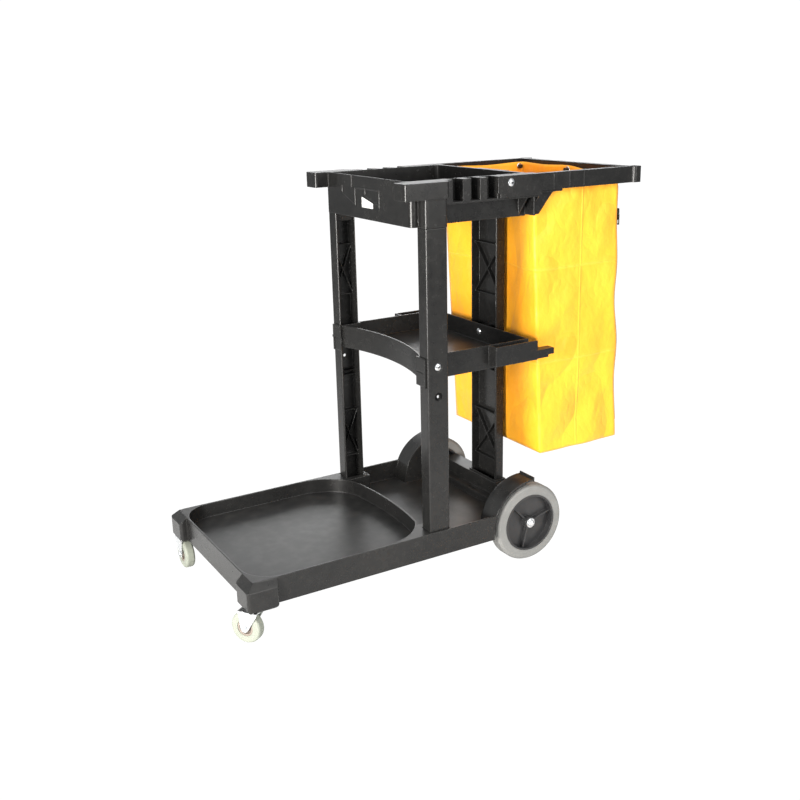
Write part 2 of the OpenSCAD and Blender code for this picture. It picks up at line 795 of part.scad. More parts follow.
module post_foot_nuts() {
    color(zinc) from_axle() {
        both_sides() translate([post_mid, post_out - post_d / 2, foot_z + 5.2]) difference() {
            cylinder(h = 5, r = 7, $fn = 6);
            translate([0, 0, -1]) cylinder(h = 10, r = bolt_r - 0.1);
        }
        translate([(rear_post_x0 + rear_post_x1) / 2, 0, foot_z + 10.2]) difference() {
            cylinder(h = 5, r = 7, $fn = 6);
            translate([0, 0, -1]) cylinder(h = 10, r = bolt_r - 0.1);
        }
    }
}

// A pan head that meets a face at y = 0 and a shank that runs inwards.
module pan_bolt(length) {
    intersection() {
        rod_y(-4, 0, 9);
        translate([0, 9, 0]) sphere(r = 13);
    }
    rod_y(-0.5, length, bolt_r - 0.1);
}

module shelf_bolts() {
    color(zinc) from_axle() {
        both_sides() translate([post_mid, -post_out + 1.8, bolt_z]) pan_bolt(post_d + 9);
        translate([shelf_rear - wall + 0.5, 0, bolt_z]) rotate([0, 0, -90]) pan_bolt(41);
    }
}

module shelf_nuts() {
    color(zinc) from_axle() {
        both_sides() translate([post_mid, -post_out + post_d + 4.5, bolt_z]) difference() {
            hex_y(0, 4.5, 7);
            rod_y(-1, 10, bolt_r - 0.1);
        }
        translate([rear_post_x1 - 7 + 0.05, 0, bolt_z]) rotate([0, 0, -90]) difference() {
            hex_y(0, 4.5, 7);
            rod_y(-1, 10, bolt_r - 0.1);
        }
    }
}

module frame_bolts() {
    color(zinc) from_axle() both_sides() translate([frame_bolt_x, -arm_out, frame_bolt_z]) pan_bolt(15);
}

module frame_nuts() {
    color(zinc) from_axle() both_sides() translate([frame_bolt_x, -band_out + 4.05, frame_bolt_z]) difference() {
        hex_y(0, 4.5, 7);
        rod_y(-1, 10, bolt_r - 0.1);
    }
}

// ---------------------------------------------------------------- rear wheels
module at_axle() {
    from_axle() translate([0, 0, axle_z]) children();
}

module rear_axle() {
    color(zinc) at_axle() rod_y(-axle_end, axle_end, axle_r);
}

module ring_y(y0, y1, r_out, r_in) {
    difference() {
        rod_y(y0, y1, r_out);
        rod_y(y0 - 1, y1 + 1, r_in);
    }
}

module axle_spacers() {
    color(black) at_axle() both_sides() ring_y(well_in + 0.1, wheel_y0 - 0.4, 10, axle_r);
}

module axle_washers() {
    color(zinc) at_axle() both_sides() ring_y(wheel_y1 + 0.4, wheel_y1 + 2, 12.5, axle_r);
}

// A pressed dome that grips the end of the axle.
module axle_caps() {
    color(zinc) at_axle() both_sides() difference() {
        union() {
            rod_y(wheel_y1 + 2, wheel_y1 + 5, 10);
            intersection() {
                rod_y(wheel_y1 + 4, wheel_y1 + 11, 8.5);
                translate([0, wheel_y1 + 1, 0]) sphere(r = 9.6);
            }
        }
        rod_y(wheel_y1, axle_end, axle_r);
    }
}

// Half-section of a turned piece: X is the radius, Y runs along the axle.
module turned() {
    rotate([-90, 0, 0]) rotate_extrude($fn = 180) children();
}

module wheel_hub() {
    web = 5;
    difference() {
        union() {
            turned() {
                translate([70.5, wheel_y0]) square([hub_r - 70.5, wheel_w]);
                translate([10, wheel_y0 + 22]) square([61, web]);
                translate([axle_r + running, wheel_y0]) square([9, wheel_w]);
            }
            for (a = [345, 225, 105])
                rotate([0, a, 0]) for (side = [[wheel_y0 + 3, wheel_y0 + 23], [wheel_y0 + 26, wheel_y1 - 6]])
                    block([10, side[0], -1.6], [72, side[1], 1.6]);
        }
        rod_y(wheel_y0 - 1, wheel_y1 + 1, axle_r + running);
    }
}

module wheel_tyre() {
    edge = 9;
    turned() difference() {
        union() {
            translate([hub_r, wheel_y0 + 1]) square([wheel_r - hub_r - edge, wheel_w - 2]);
            translate([hub_r, wheel_y0 + edge]) square([wheel_r - hub_r, wheel_w - 2 * edge]);
            for (y = [wheel_y0 + edge, wheel_y1 - edge])
                translate([wheel_r - edge, y]) circle(edge - 1);
            translate([hub_r, wheel_y0 + edge]) square([wheel_r - hub_r - 1, wheel_w - 2 * edge]);
        }
        for (y = [wheel_y0 + wheel_w / 2 - 9, wheel_y0 + wheel_w / 2 - 0.8, wheel_y0 + wheel_w / 2 + 7.4])
            translate([wheel_r - 1.8, y]) square([3, 1.6]);
    }
}

module wheel_hub_left() {
    color(black) at_axle() mirror([0, 1, 0]) wheel_hub();
}

module wheel_hub_right() {
    color(black) at_axle() wheel_hub();
}

module wheel_tyre_left() {
    color(grey_tyre) at_axle() mirror([0, 1, 0]) wheel_tyre();
}

module wheel_tyre_right() {
    color(grey_tyre) at_axle() wheel_tyre();
}

// ---------------------------------------------------------------- casters
// Places a caster at its stem, turned; the wheel trails towards -X of the caster's own frame.
module at_caster(side) {
    from_axle() translate([stem_x, side * stem_y, 0])
        rotate([0, 0, side < 0 ? left_turn : right_turn]) children();
}

module caster_stem() {
    cylinder_z(cavity_top, 127, stem_r);
    cylinder_z(cavity_top - 4, cavity_top, 8);
    cylinder_z(upper_race, cavity_top - 4, race_r);
    cylinder_z(76, cavity_top - 3, stem_r);
    cylinder_z(74, 76.2, stem_r + 1);
}

module cylinder_z(z0, z1, r) {
    translate([0, 0, z0]) cylinder(h = z1 - z0, r = r);
}

module caster_balls() {
    for (i = [0:9])
        rotate([0, 0, i * 36]) translate([8.8, 0, race_top + 0.02 + ball_r]) sphere(r = ball_r, $fn = 24);
}

module leg_outline() {
    polygon([[crown_rear, crown_top], [crown_front, crown_top], [crown_front, fork_low - 3], [-9, 33],
        [-27.5, 37.5]]);
    translate([-caster_trail, caster_r]) circle(9.5);
}

module caster_fork() {
    difference() {
        union() {
            for (s = [-1, 1])
                across(s > 0 ? leg_gap : -leg_gap - leg_t, s > 0 ? leg_gap + leg_t : -leg_gap) leg_outline();
            block([crown_rear, -leg_gap - leg_t, fork_low], [crown_front, leg_gap + leg_t, crown_top]);
            cylinder_z(fork_low, crown_top, crown_front);
            cylinder_z(crown_top - 1, race_top, race_r);
        }
        cylinder_z(fork_low - 1, race_top + 1, stem_r + running);
        translate([-caster_trail, 0, caster_r]) rod_y(-30, 30, caster_bolt_r);
    }
}

module caster_bolt() {
    translate([-caster_trail, 0, caster_r]) {
        rod_y(-leg_gap - leg_t, leg_gap + leg_t + 6, caster_bolt_r);
        hex_y(-leg_gap - leg_t - 4, -leg_gap - leg_t, 6.5);
    }
}

module caster_nut() {
    translate([-caster_trail, 0, caster_r]) difference() {
        hex_y(leg_gap + leg_t, leg_gap + leg_t + 4.5, 6.5);
        rod_y(0, 60, caster_bolt_r);
    }
}

module caster_core() {
    half = caster_w / 2;
    translate([-caster_trail, 0, caster_r]) difference() {
        turned() {
            translate([caster_bolt_r + running, -half - 0.8]) square([5, caster_w + 1.6]);
            translate([8, -4]) square([9, 8]);
            translate([15.5, -half + 1.5]) square([core_r - 15.5, caster_w - 3]);
        }
        rod_y(-30, 30, caster_bolt_r + running);
    }
}

module caster_tread() {
    half = caster_w / 2;
    edge = 6;
    translate([-caster_trail, 0, caster_r]) turned() {
        translate([core_r, -half]) square([caster_r - edge - core_r, caster_w]);
        translate([core_r, -half + edge]) square([caster_r - core_r, caster_w - 2 * edge]);
        for (y = [-half + edge, half - edge])
            translate([caster_r - edge, y]) circle(edge);
    }
}

module caster_stem_left() { color(zinc) at_caster(-1) caster_stem(); }
module caster_stem_right() { color(zinc) at_caster(1) caster_stem(); }
module caster_balls_left() { color(zinc) at_caster(-1) caster_balls(); }
module caster_balls_right() { color(zinc) at_caster(1) caster_balls(); }
module caster_fork_left() { color(zinc) at_caster(-1) caster_fork(); }
module caster_fork_right() { color(zinc) at_caster(1) caster_fork(); }
module caster_bolt_left() { color(zinc) at_caster(-1) caster_bolt(); }
module caster_bolt_right() { color(zinc) at_caster(1) caster_bolt(); }
module caster_nut_left() { color(zinc) at_caster(-1) caster_nut(); }
module caster_nut_right() { color(zinc) at_caster(1) caster_nut(); }
module caster_core_left() { color([0.5, 0.42, 0.38]) at_caster(-1) caster_core(); }
module caster_core_right() { color([0.5, 0.42, 0.38]) at_caster(1) caster_core(); }
module caster_tread_left() { color([0.8, 0.83, 0.76]) at_caster(-1) caster_tread(); }
module caster_tread_right() { color([0.8, 0.83, 0.76]) at_caster(1) caster_tread(); }

base_platform();
front_post_left();
front_post_right();
rear_post();
middle_shelf();
top_tray();
bag_frame();
blank_label();
bag();
bag_grommets();
bag_zipper();
zipper_slider();
zipper_pull();
post_foot_bolts();
post_foot_nuts();
shelf_bolts();
shelf_nuts();
frame_bolts();
frame_nuts();
rear_axle();
axle_spacers();
axle_washers();
axle_caps();
wheel_hub_left();
wheel_tyre_left();
wheel_hub_right();
wheel_tyre_right();
caster_stem_left();
caster_balls_left();
caster_fork_left();
caster_bolt_left();
caster_nut_left();
caster_core_left();
caster_tread_left();
caster_stem_right();
caster_balls_right();
caster_fork_right();
caster_bolt_right();
caster_nut_right();
caster_core_right();
caster_tread_right();
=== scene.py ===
import math
import bmesh
import bpy
from mathutils import Matrix, Vector, noise


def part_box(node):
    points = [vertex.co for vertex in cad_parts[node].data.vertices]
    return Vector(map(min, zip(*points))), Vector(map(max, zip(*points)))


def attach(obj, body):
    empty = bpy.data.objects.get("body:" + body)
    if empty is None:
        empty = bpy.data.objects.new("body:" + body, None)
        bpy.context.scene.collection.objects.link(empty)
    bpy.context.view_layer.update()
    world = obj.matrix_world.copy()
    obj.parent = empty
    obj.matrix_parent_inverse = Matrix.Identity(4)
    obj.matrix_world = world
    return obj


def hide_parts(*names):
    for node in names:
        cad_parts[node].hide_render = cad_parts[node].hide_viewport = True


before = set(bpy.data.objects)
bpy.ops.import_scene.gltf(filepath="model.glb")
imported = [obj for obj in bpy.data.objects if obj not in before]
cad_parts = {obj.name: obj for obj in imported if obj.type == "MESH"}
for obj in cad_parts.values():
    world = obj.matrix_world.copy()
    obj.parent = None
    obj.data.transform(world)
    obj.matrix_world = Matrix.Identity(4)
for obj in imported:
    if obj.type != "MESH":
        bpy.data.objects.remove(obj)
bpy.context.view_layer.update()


# Deck, posts, shelf, tray and bag frame: injection moulded black polypropylene with a fine
# satin grain. The moulded edges are softened and a little scuffed, and dust lies on flat tops.
def group_with(name, inputs, outputs):
    group = bpy.data.node_groups.new(name, "ShaderNodeTree")
    for label, kind, value in inputs:
        group.interface.new_socket(label, in_out="INPUT", socket_type=kind).default_value = value
    for label, kind in outputs:
        group.interface.new_socket(label, in_out="OUTPUT", socket_type=kind)
    return group, group.nodes.new("NodeGroupInput"), group.nodes.new("NodeGroupOutput")


def math_node(nodes, links, operation, first, second):
    node = nodes.new("ShaderNodeMath")
    node.operation = operation
    for socket, value in zip(node.inputs, (first, second)):
        if isinstance(value, (int, float)):
            socket.default_value = value
        else:
            links.new(value, socket)
    return node.outputs["Value"]


def noise_node(nodes, links, vector, scale, detail, stretch=None):
    if stretch:
        mapping = nodes.new("ShaderNodeMapping")
        mapping.inputs["Scale"].default_value = stretch
        links.new(vector, mapping.inputs["Vector"])
        vector = mapping.outputs["Vector"]
    node = nodes.new("ShaderNodeTexNoise")
    node.inputs["Scale"].default_value = scale
    node.inputs["Detail"].default_value = detail
    links.new(vector, node.inputs["Vector"])
    return node.outputs["Fac"]


def spread(nodes, links, value, low, high, to_low, to_high):
    node = nodes.new("ShaderNodeMapRange")
    for label, number in zip(("From Min", "From Max", "To Min", "To Max"), (low, high, to_low, to_high)):
        node.inputs[label].default_value = number
    links.new(value, node.inputs["Value"])
    return node.outputs["Result"]


def mixed(nodes, links, amount, first, second):
    node = nodes.new("ShaderNodeMix")
    node.data_type = "RGBA"
    links.new(amount, node.inputs[0])
    for socket, value in ((node.inputs[6], first), (node.inputs[7], second)):
        if isinstance(value, tuple):
            socket.default_value = (*value, 1)
        else:
            links.new(value, socket)
    return node.outputs[2]


def softened_edges():
    group, start, end = group_with("Softened_edges", [("Radius", "NodeSocketFloat", 0.002)],
        [("Normal", "NodeSocketVector"), ("Wear", "NodeSocketFloat")])
    nodes, links = group.nodes, group.links
    bevel = nodes.new("ShaderNodeBevel")
    bevel.samples = 6
    links.new(start.outputs["Radius"], bevel.inputs["Radius"])
    face = nodes.new("ShaderNodeNewGeometry")
    lean = nodes.new("ShaderNodeVectorMath")
    lean.operation = "DOT_PRODUCT"
    links.new(bevel.outputs["Normal"], lean.inputs[0])
    links.new(face.outputs["Normal"], lean.inputs[1])
    links.new(spread(nodes, links, lean.outputs["Value"], 0.98, 0.75, 0, 1), end.inputs["Wear"])
    links.new(bevel.outputs["Normal"], end.inputs["Normal"])
    return group


def moulding_grain():
    group, start, end = group_with("Moulding_grain", [("Vector", "NodeSocketVector", (0, 0, 0))],
        [("Tint", "NodeSocketFloat"), ("Height", "NodeSocketFloat"), ("Dust", "NodeSocketFloat"),
        ("Flat", "NodeSocketFloat")])
    nodes, links = group.nodes, group.links
    place = start.outputs["Vector"]
    flow = noise_node(nodes, links, place, 7, 3)
    cloud = noise_node(nodes, links, place, 60, 2)
    tint = math_node(nodes, links, "MULTIPLY", math_node(nodes, links, "ADD", flow, cloud), 0.5)
    links.new(tint, end.inputs["Tint"])
    grain = noise_node(nodes, links, place, 900, 2)
    links.new(grain, end.inputs["Height"])
    face = nodes.new("ShaderNodeNewGeometry")
    parts = nodes.new("ShaderNodeSeparateXYZ")
    links.new(face.outputs["Normal"], parts.inputs["Vector"])
    flat = spread(nodes, links, parts.outputs["Z"], 0.8, 1.0, 0, 1)
    speck = spread(nodes, links, noise_node(nodes, links, place, 35, 6), 0.42, 0.7, 0, 1)
    links.new(math_node(nodes, links, "MULTIPLY", flat, speck), end.inputs["Dust"])
    links.new(flat, end.inputs["Flat"])
    return group


softened = softened_edges()
grained = moulding_grain()


def moulded(name, dark, light, rough, edge, grain_depth, gloss=0.5, dust=(0.12, 0.115, 0.105)):
    material = bpy.data.materials.new(name)
    material.use_nodes = True
    nodes, links = material.node_tree.nodes, material.node_tree.links
    shader = nodes["Principled BSDF"]
    shader.inputs["Specular IOR Level"].default_value = gloss
    place = nodes.new("ShaderNodeTexCoord").outputs["Object"]
    grain = nodes.new("ShaderNodeGroup")
    grain.node_tree = grained
    links.new(place, grain.inputs["Vector"])
    edges = nodes.new("ShaderNodeGroup")
    edges.node_tree = softened
    edges.inputs["Radius"].default_value = edge
    base = mixed(nodes, links, spread(nodes, links, grain.outputs["Tint"], 0.35, 0.65, 0, 1), dark, light)
    scuff = math_node(nodes, links, "MULTIPLY", edges.outputs["Wear"], 0.10)
    scuffed = mixed(nodes, links, scuff, base, tuple(min(1, 3 * c + 0.03) for c in light))
    dusty = math_node(nodes, links, "MULTIPLY", grain.outputs["Dust"], 0.12)
    links.new(mixed(nodes, links, dusty, scuffed, dust), shader.inputs["Base Color"])
    satin = spread(nodes, links, grain.outputs["Tint"], 0.3, 0.7, rough[0], rough[1])
    stippled = math_node(nodes, links, "MULTIPLY", grain.outputs["Flat"], 0.16)
    links.new(math_node(nodes, links, "ADD", satin, stippled), shader.inputs["Roughness"])
    bump = nodes.new("ShaderNodeBump")
    bump.inputs["Strength"].default_value = 0.15
    bump.inputs["Distance"].default_value = grain_depth
    links.new(grain.outputs["Height"], bump.inputs["Height"])
    links.new(edges.outputs["Normal"], bump.inputs["Normal"])
    links.new(bump.outputs["Normal"], shader.inputs["Normal"])
    return material


def give(material, *names):
    for name in names:
        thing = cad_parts[name]
        if thing.material_slots:
            for place in thing.material_slots:
                place.material = material
        else:
            thing.data.materials.append(material)


black_plastic = moulded("Black_polypropylene", (0.009, 0.009, 0.009), (0.0145, 0.0142, 0.0136),
    (0.22, 0.29), 0.0028, 0.00008, 0.34)
give(black_plastic, "base_platform", "front_post_left", "front_post_right", "rear_post", "middle_shelf",
    "top_tray", "bag_frame")


# Spare bolt holes: each front post has an unused hole under the shelf's screw, and the round hollow
# about it is dished down to the hole, coloured near-black and low in gloss as painted shade of a deep hole.
def new_piece(name, bm, smooth=True):
    mesh = bpy.data.meshes.new(name)
    bm.to_mesh(mesh)
    bm.free()
    for polygon in mesh.polygons:
        polygon.use_smooth = smooth
    thing = bpy.data.objects.new(name, mesh)
    bpy.context.collection.objects.link(thing)
    return thing


dish = bmesh.new()
post_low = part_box("front_post_left")[0]
post_half_width = 0.0285
hole_below_shelf = 0.093
hole_x = post_low[0] + post_half_width
hole_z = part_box("middle_shelf")[1][2] - hole_below_shelf
for sign in (-1, 1):
    face_y = sign * abs(post_low[1])
    outline = [(0.0103, 0.0001), (0.0100, 0.0005), (0.0062, 0.0013), (0.0043, 0.00172), (0.0103, 0.00176)]
    loop = [dish.verts.new((hole_x + r, face_y - sign * deep, hole_z)) for r, deep in outline]
    edge_loop = [dish.edges.new((a, b)) for a, b in zip(loop, loop[1:] + loop[:1])]
    bmesh.ops.spin(dish, geom=loop + edge_loop, cent=(hole_x, face_y, hole_z), axis=(0, 1, 0),
        angle=2 * math.pi, steps=48, use_merge=True)
bmesh.ops.remove_doubles(dish, verts=dish.verts[:], dist=0.00001)
bmesh.ops.recalc_face_normals(dish, faces=dish.faces[:])
dishes = new_piece("Spare_hole_dishes", dish)
# near-black, low-gloss colour: painted shade that makes the shallow dish read as a deep hole
dishes.data.materials.append(moulded("Painted_shade_dish", (0.002, 0.002, 0.002), (0.004, 0.004, 0.004),
    (0.3, 0.4), 0.0005, 0.00005, 0.1))
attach(dishes, "cart")


# Label on the tray's front: a blank white sticker of coated paper, pressed on inside the framed
# recess.
sticker = moulded("White_sticker", (0.72, 0.72, 0.70), (0.82, 0.82, 0.80), (0.45, 0.6), 0.0003, 0.00002)
give(sticker, "blank_label")


# Fasteners and axle: zinc plated steel, slightly hazy. The pan heads have a cross recess, bumped in
# at each head's middle and coloured near-black there as painted shade of the hollow.
def zinc_plated(name, middle=None):
    material = bpy.data.materials.new(name)
    material.use_nodes = True
    nodes, links = material.node_tree.nodes, material.node_tree.links
    shader = nodes["Principled BSDF"]
    shader.inputs["Metallic"].default_value = 1
    place = nodes.new("ShaderNodeTexCoord").outputs["Object"]
    haze = noise_node(nodes, links, place, 260, 3)
    colour = mixed(nodes, links, haze, (0.62, 0.64, 0.66), (0.86, 0.87, 0.88))
    edges = nodes.new("ShaderNodeGroup")
    edges.node_tree = softened
    edges.inputs["Radius"].default_value = 0.0006
    bump = nodes.new("ShaderNodeBump")
    bump.inputs["Strength"].default_value = 0.5
    bump.inputs["Distance"].default_value = 0.0008
    links.new(edges.outputs["Normal"], bump.inputs["Normal"])
    height = haze
    if middle:
        shift = nodes.new("ShaderNodeMapping")
        shift.inputs["Location"].default_value = (-middle[0], 0, -middle[1])
        links.new(place, shift.inputs["Vector"])
        parts = nodes.new("ShaderNodeSeparateXYZ")
        links.new(shift.outputs["Vector"], parts.inputs["Vector"])
        across = math_node(nodes, links, "ABSOLUTE", parts.outputs["X"], 0)
        upward = math_node(nodes, links, "ABSOLUTE", parts.outputs["Z"], 0)
        nearer = math_node(nodes, links, "MINIMUM", across, upward)
        further = math_node(nodes, links, "MAXIMUM", across, upward)
        thin = math_node(nodes, links, "LESS_THAN", nearer, 0.0009)
        reach = math_node(nodes, links, "LESS_THAN", further, 0.0042)
        cross = math_node(nodes, links, "MULTIPLY", thin, reach)
        # the cross is coloured near-black: painted shade in the recess
        colour = mixed(nodes, links, cross, colour, (0.03, 0.03, 0.03))
        height = math_node(nodes, links, "SUBTRACT", math_node(nodes, links, "MULTIPLY", haze, 0.1), cross)
    links.new(colour, shader.inputs["Base Color"])
    links.new(height, bump.inputs["Height"])
    links.new(spread(nodes, links, haze, 0.3, 0.7, 0.16, 0.34), shader.inputs["Roughness"])
    links.new(bump.outputs["Normal"], shader.inputs["Normal"])
    return material


def middle_of(node):
    low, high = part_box(node)
    return [(a + b) / 2 for a, b in zip(low, high)]


axle_x = middle_of("rear_axle")[0]
plain_zinc = zinc_plated("Zinc_plate")
give(plain_zinc, "post_foot_bolts", "post_foot_nuts", "shelf_nuts", "frame_nuts", "rear_axle", "axle_washers",
    "axle_caps")
give(zinc_plated("Zinc_shelf_screws", (hole_x, middle_of("shelf_bolts")[2])),
    "shelf_bolts")
frame_bolt = middle_of("frame_bolts")
give(zinc_plated("Zinc_frame_screws", (frame_bolt[0], frame_bolt[2])), "frame_bolts")


# Rear wheels: a spoked hub of black plastic inside a grey non-marking rubber tyre with fine
# moulded rings on its side and a dusty tread.
hub_plastic = moulded("Black_hub", (0.016, 0.016, 0.017), (0.026, 0.026, 0.027), (0.26, 0.4), 0.0012, 0.0001)
give(hub_plastic, "wheel_hub_left", "wheel_hub_right", "axle_spacers")


def rubber(name, dark, light, middle, ring_pitch):
    material = bpy.data.materials.new(name)
    material.use_nodes = True
    nodes, links = material.node_tree.nodes, material.node_tree.links
    shader = nodes["Principled BSDF"]
    place = nodes.new("ShaderNodeTexCoord").outputs["Object"]
    shift = nodes.new("ShaderNodeMapping")
    shift.inputs["Location"].default_value = (-middle[0], 0, -middle[2])
    shift.inputs["Scale"].default_value = (1, 0, 1)
    links.new(place, shift.inputs["Vector"])
    radius = nodes.new("ShaderNodeVectorMath")
    radius.operation = "LENGTH"
    links.new(shift.outputs["Vector"], radius.inputs[0])
    speck = noise_node(nodes, links, place, 420, 3)
    smudge = spread(nodes, links, noise_node(nodes, links, place, 24, 4), 0.35, 0.7, 0, 1)
    tone = mixed(nodes, links, speck, dark, light)
    links.new(mixed(nodes, links, math_node(nodes, links, "MULTIPLY", smudge, 0.25), tone,
        tuple(c * 0.6 for c in dark)), shader.inputs["Base Color"])
    links.new(spread(nodes, links, speck, 0.3, 0.7, 0.48, 0.66), shader.inputs["Roughness"])
    turns = math_node(nodes, links, "SINE",
        math_node(nodes, links, "MULTIPLY", radius.outputs["Value"], 6.2832 / ring_pitch), 0)
    height = math_node(nodes, links, "ADD", math_node(nodes, links, "MULTIPLY", turns, 0.35), speck)
    bump = nodes.new("ShaderNodeBump")
    bump.inputs["Strength"].default_value = 0.35
    bump.inputs["Distance"].default_value = 0.0004
    edges = nodes.new("ShaderNodeGroup")
    edges.node_tree = softened
    edges.inputs["Radius"].default_value = 0.0025
    links.new(edges.outputs["Normal"], bump.inputs["Normal"])
    links.new(height, bump.inputs["Height"])
    links.new(bump.outputs["Normal"], shader.inputs["Normal"])
    return material


give(rubber("Grey_rubber", (0.16, 0.16, 0.154), (0.24, 0.24, 0.23), middle_of("wheel_tyre_left"), 0.0055),
    "wheel_tyre_left", "wheel_tyre_right")


# Front casters: pressed zinc forks on ball races, brown plastic wheel centres and pale
# polyurethane treads.
give(plain_zinc, *[f"caster_{piece}_{side}" for side in ("left", "right")
    for piece in ("stem", "balls", "fork", "bolt", "nut")])
core = moulded("Caster_core", (0.16, 0.13, 0.11), (0.24, 0.20, 0.17), (0.4, 0.55), 0.0008, 0.0001)
give(core, "caster_core_left", "caster_core_right")
for side in ("left", "right"):
    give(rubber(f"Pale_tread_{side}", (0.20, 0.215, 0.175), (0.27, 0.285, 0.24),
        middle_of(f"caster_tread_{side}"), 0.009), f"caster_tread_{side}")


# Bag: one wrap of yellow polyester cloth with a coated face and a sewn-in bottom, creased where
# it was folded for packing. It hangs by eyelets from the frame's pegs, so its rim sags between them.
bag_low, bag_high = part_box("bag")
rim_z = bag_high[2]
floor_z = bag_low[2]
front_top = bag_low[0]
front_bottom = axle_x + 0.062
back_top = axle_x + 0.292
back_bottom = bag_high[0]
half = bag_high[1]
peg_front = axle_x + 0.070
peg_back = axle_x + 0.280
tall = rim_z - floor_z
peg_z = rim_z - 0.012
front_bend = 0.033
bend_width = 0.1265
wander_limit = 0.010
wave_points = [(0.971, 0), (0.934, 0), (0.845, -0.003), (0.743, 0), (0.640, -0.008), (0.531, 0.001),
    (0.422, -0.007), (0.265, 0)]


def edge_wave(z):
    for (z1, d1), (z0, d0) in zip(wave_points, wave_points[1:]):
        if z >= z0:
            t = (z - z0) / (z1 - z0)
            return d0 + (d1 - d0) * (0.5 - 0.5 * math.cos(math.pi * min(1, max(0, t))))
    return 0


def cut_bag():
    bm = bmesh.new()
    bmesh.ops.create_cube(bm, size=1)
    for v in bm.verts:
        top = v.co.z > 0
        if v.co.x < 0:
            v.co.x = front_top if top else front_bottom
        else:
            v.co.x = back_top if top else back_bottom
        v.co.y = math.copysign(half, v.co.y)
        v.co.z = rim_z if top else floor_z
    bmesh.ops.delete(bm, geom=[f for f in bm.faces if f.normal.z > 0.9], context="FACES")
    bm.normal_update()
    uprights = [e for e in bm.edges if abs(e.verts[0].co.z - e.verts[1].co.z) > 0.3]
    bmesh.ops.subdivide_edges(bm, edges=uprights, cuts=2, use_grid_fill=True)
    bmesh.ops.subdivide_edges(bm, edges=bm.edges[:], cuts=17, use_grid_fill=True)
    bm.normal_update()
    cut = bm.loops.layers.uv.new("cut")
    for f in bm.faces:
        for corner in f.loops:
            p = corner.vert.co
            if f.normal.z < -0.9:
                corner[cut].uv = (p.y, -p.x)
            elif f.normal.y < -0.9:
                corner[cut].uv = (p.x, p.z)
            elif f.normal.x > 0.9:
                corner[cut].uv = (1 + p.y, p.z)
            elif f.normal.y > 0.9:
                corner[cut].uv = (2 + p.x, p.z)
            else:
                corner[cut].uv = (3 + p.y, p.z)
    return bm


def hang(bm):
    # the front bends round the rear post, the rim sags, and the panels keep their packing folds
    for v in bm.verts:
        p = v.co.copy()
        h = (p.z - floor_z) / tall
        back_x = back_bottom + (back_top - back_bottom) * h
        front_x = front_bottom + (front_top - front_bottom) * h
        bend = front_top + front_bend * min(1, (half - abs(p.y)) / bend_width)
        s = (p.x - front_x) / (back_x - front_x)
        v.co.x = max(front_x, bend) * (1 - s) + back_x * s
        near_top = max(0, (h - 0.72) / 0.28) ** 2
        if s > 0.99:
            sag = 0.003 if p.y > 0 else 0.010
            v.co.z -= sag * math.sin(math.pi * abs(p.y) / half) ** 2 * near_top
        elif abs(p.y) > half - 0.001 and s > 0.01:
            along = (v.co.x - peg_front) / (peg_back - peg_front)
            if 0 < along < 1:
                v.co.z -= 0.003 * math.sin(math.pi * along) ** 2 * near_top
        elif s < 0.01:
            v.co.z -= 0.010 * math.sin(math.pi * (p.y / half + 1) / 2) ** 2 * near_top
        side = abs(p.y) / half
        inner = math.sin(math.pi * min(1, max(0, s)))
        wander = noise.noise(p * 6 + Vector((9, 0, 0)))
        ripple = noise.noise(Vector((p.x * 17, p.y * 17, p.z * 5)))
        free = min(1, (1 - h) * 6 + 0.1)
        if side > 0.995 and 0.01 < s < 0.99:
            fold = 1 - abs(2 * s - 1)
            swell = 0.0035 * fold - 0.004 * inner * ripple + 0.003 * wander * inner
            v.co.y += math.copysign(swell, p.y) * free
        elif p.z > floor_z + 0.001 and (s < 0.01 or s > 0.99):
            fold = 1 - side
            bulge = (0.004 * fold + 0.005 * ripple * fold) * free
            v.co.x += bulge if s > 0.5 else -bulge * 0.6
        if s > 0.6:
            nearness = max(0, 1 - (half + p.y) / 0.12) * min(1, max(0, (s - 0.6) / 0.4)) ** 2
            v.co.x += edge_wave(p.z) * nearness
    return bm


def cloth_settled(thing, pinned):
    # lets the cloth hang for a second under its own weight, and limits how far it may wander
    before = [v.co.copy() for v in thing.data.vertices]
    group = thing.vertex_groups.new(name="held")
    for index in pinned:
        group.add([index], 1.0, "REPLACE")
    cloth = thing.modifiers.new("Hang", "CLOTH")
    cloth.settings.quality = 7
    cloth.settings.mass = 0.25
    cloth.settings.tension_stiffness = 60
    cloth.settings.compression_stiffness = 25
    cloth.settings.shear_stiffness = 20
    cloth.settings.bending_stiffness = 1.2
    cloth.settings.air_damping = 4
    cloth.settings.vertex_group_mass = "held"
    cloth.point_cache.frame_start = 1
    cloth.point_cache.frame_end = 24
    scene = bpy.context.scene
    for number in range(1, 25):
        scene.frame_set(number)
    shaped = thing.evaluated_get(bpy.context.evaluated_depsgraph_get()).data
    after = [v.co.copy() for v in shaped.vertices]
    thing.modifiers.remove(cloth)
    thing.vertex_groups.remove(group)
    scene.frame_set(1)
    for v, old, new in zip(thing.data.vertices, before, after):
        step = new - old
        if step.length > wander_limit:
            step *= wander_limit / step.length
        v.co = old + step
        if old.x < front_bottom:
            v.co.x = max(v.co.x, old.x - 0.0005)


